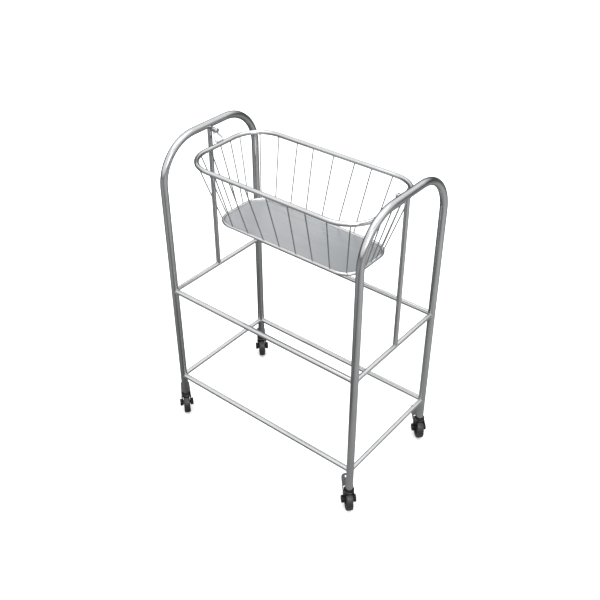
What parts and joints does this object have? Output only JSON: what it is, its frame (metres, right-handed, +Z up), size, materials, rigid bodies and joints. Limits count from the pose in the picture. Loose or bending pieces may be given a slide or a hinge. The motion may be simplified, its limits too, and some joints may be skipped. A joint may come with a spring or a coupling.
{
  "type": "bassinet on stand",
  "caption": "Open wire bassinet with a sheet floor, hung to swing between two tubular steel hoops, on a rolling stand with braked swivel casters.",
  "frame": {"origin": "on the floor, under the middle of the whole object's outline, casters and pedals included", "axes": "+Z up; +X along the bassinet, towards its right-hand hoop; +Y across it, towards its back"},
  "size_m": [0.8869, 0.5517, 1.1467],
  "materials": {
    "stand_steel": "satin-polished stainless tube",
    "cot_steel": "polished stainless rod and tube",
    "tray_steel": "smooth cold-rolled stainless sheet",
    "caster_metal": "black coated steel",
    "fork_metal": "black coated steel",
    "black_metal": "black coated pressing",
    "zinc_steel": "zinc plated",
    "black_plastic": "matte moulding",
    "hub_plastic": "dark grey moulding",
    "tyre_rubber": "dark grey elastic tyre"
  },
  "bodies": {
    "stand": {"hoop_left": "stand_steel", "upright_left": "stand_steel", "mid_crossbar_left": "stand_steel", "low_crossbar_left": "stand_steel", "pivot_pin_left": "stand_steel", "hoop_right": "stand_steel", "upright_right": "stand_steel", "mid_crossbar_right": "stand_steel", "low_crossbar_right": "stand_steel", "pivot_pin_right": "stand_steel", "mid_rail_front": "stand_steel", "low_rail_front": "stand_steel", "mid_rail_back": "stand_steel", "low_rail_back": "stand_steel", "pin_caps": "stand_steel", "pin_washers": "stand_steel", "stem_sockets": "black_plastic", "caster_mount_front_left": "caster_metal", "caster_mount_front_right": "caster_metal", "caster_mount_back_left": "caster_metal", "caster_mount_back_right": "caster_metal"},
    "cot": {"cot_rim": "cot_steel", "cot_base_ring": "cot_steel", "cot_tray": "tray_steel", "front_wires": "cot_steel", "back_wires": "cot_steel", "left_end_wires": "cot_steel", "right_end_wires": "cot_steel", "corner_wires": "cot_steel", "hangers": "cot_steel", "hanger_bushes": "cot_steel"},
    "swivel_front_left": {"fork_front_left": "fork_metal", "axle_front_left": "zinc_steel", "axle_caps_front_left": "black_plastic", "pedal_pins_front_left": "zinc_steel"},
    "wheel_front_left": {"wheel_hub_front_left": "hub_plastic", "tyre_front_left": "tyre_rubber"},
    "pedal_front_left": {"brake_pedal_front_left": "black_metal"},
    "swivel_front_right": {"fork_front_right": "fork_metal", "axle_front_right": "zinc_steel", "axle_caps_front_right": "black_plastic", "pedal_pins_front_right": "zinc_steel"},
    "wheel_front_right": {"wheel_hub_front_right": "hub_plastic", "tyre_front_right": "tyre_rubber"},
    "pedal_front_right": {"brake_pedal_front_right": "black_metal"},
    "swivel_back_left": {"fork_back_left": "fork_metal", "axle_back_left": "zinc_steel", "axle_caps_back_left": "black_plastic", "pedal_pins_back_left": "zinc_steel"},
    "wheel_back_left": {"wheel_hub_back_left": "hub_plastic", "tyre_back_left": "tyre_rubber"},
    "pedal_back_left": {"brake_pedal_back_left": "black_metal"},
    "swivel_back_right": {"fork_back_right": "fork_metal", "axle_back_right": "zinc_steel", "axle_caps_back_right": "black_plastic", "pedal_pins_back_right": "zinc_steel"},
    "wheel_back_right": {"wheel_hub_back_right": "hub_plastic", "tyre_back_right": "tyre_rubber"},
    "pedal_back_right": {"brake_pedal_back_right": "black_metal"}
  },
  "joints": [
    {"name": "cot_swing", "type": "hinge", "parent": "stand", "child": "cot", "pos_m": [0.0205, -0.02, 1.119], "axis": [1, 0, 0], "range_deg": [-25, 25]},
    {"name": "swivel_front_left", "type": "hinge", "parent": "stand", "child": "swivel_front_left", "pos_m": [-0.371, -0.245, 0.09], "axis": [0, 0, 1], "continuous": true},
    {"name": "roll_front_left", "type": "hinge", "parent": "swivel_front_left", "child": "wheel_front_left", "pos_m": [-0.37477, -0.24172, 0.042], "axis": [-0.6561, -0.7547, 0], "continuous": true},
    {"name": "brake_front_left", "type": "hinge", "parent": "swivel_front_left", "child": "pedal_front_left", "pos_m": [-0.38006, -0.23713, 0.0635], "axis": [-0.6561, -0.7547, 0], "range_deg": [0, 8]},
    {"name": "swivel_front_right", "type": "hinge", "parent": "stand", "child": "swivel_front_right", "pos_m": [0.412, -0.245, 0.09], "axis": [0, 0, 1], "continuous": true},
    {"name": "roll_front_right", "type": "hinge", "parent": "swivel_front_right", "child": "wheel_front_right", "pos_m": [0.40853, -0.2414, 0.042], "axis": [-0.7193, -0.6947, 0], "continuous": true},
    {"name": "brake_front_right", "type": "hinge", "parent": "swivel_front_right", "child": "pedal_front_right", "pos_m": [0.40366, -0.23637, 0.0635], "axis": [-0.7193, -0.6947, 0], "range_deg": [0, 8]},
    {"name": "swivel_back_left", "type": "hinge", "parent": "stand", "child": "swivel_back_left", "pos_m": [-0.371, 0.205, 0.09], "axis": [0, 0, 1], "continuous": true},
    {"name": "roll_back_left", "type": "hinge", "parent": "swivel_back_left", "child": "wheel_back_left", "pos_m": [-0.37447, 0.2086, 0.042], "axis": [-0.7193, -0.6947, 0], "continuous": true},
    {"name": "brake_back_left", "type": "hinge", "parent": "swivel_back_left", "child": "pedal_back_left", "pos_m": [-0.37934, 0.21363, 0.0635], "axis": [-0.7193, -0.6947, 0], "range_deg": [0, 8]},
    {"name": "swivel_back_right", "type": "hinge", "parent": "stand", "child": "swivel_back_right", "pos_m": [0.412, 0.205, 0.09], "axis": [0, 0, 1], "continuous": true},
    {"name": "roll_back_right", "type": "hinge", "parent": "swivel_back_right", "child": "wheel_back_right", "pos_m": [0.40846, 0.20854, 0.042], "axis": [-0.7071, -0.7071, 0], "continuous": true},
    {"name": "brake_back_right", "type": "hinge", "parent": "swivel_back_right", "child": "pedal_back_right", "pos_m": [0.40352, 0.21349, 0.0635], "axis": [-0.7071, -0.7071, 0], "range_deg": [0, 8]}
  ]
}
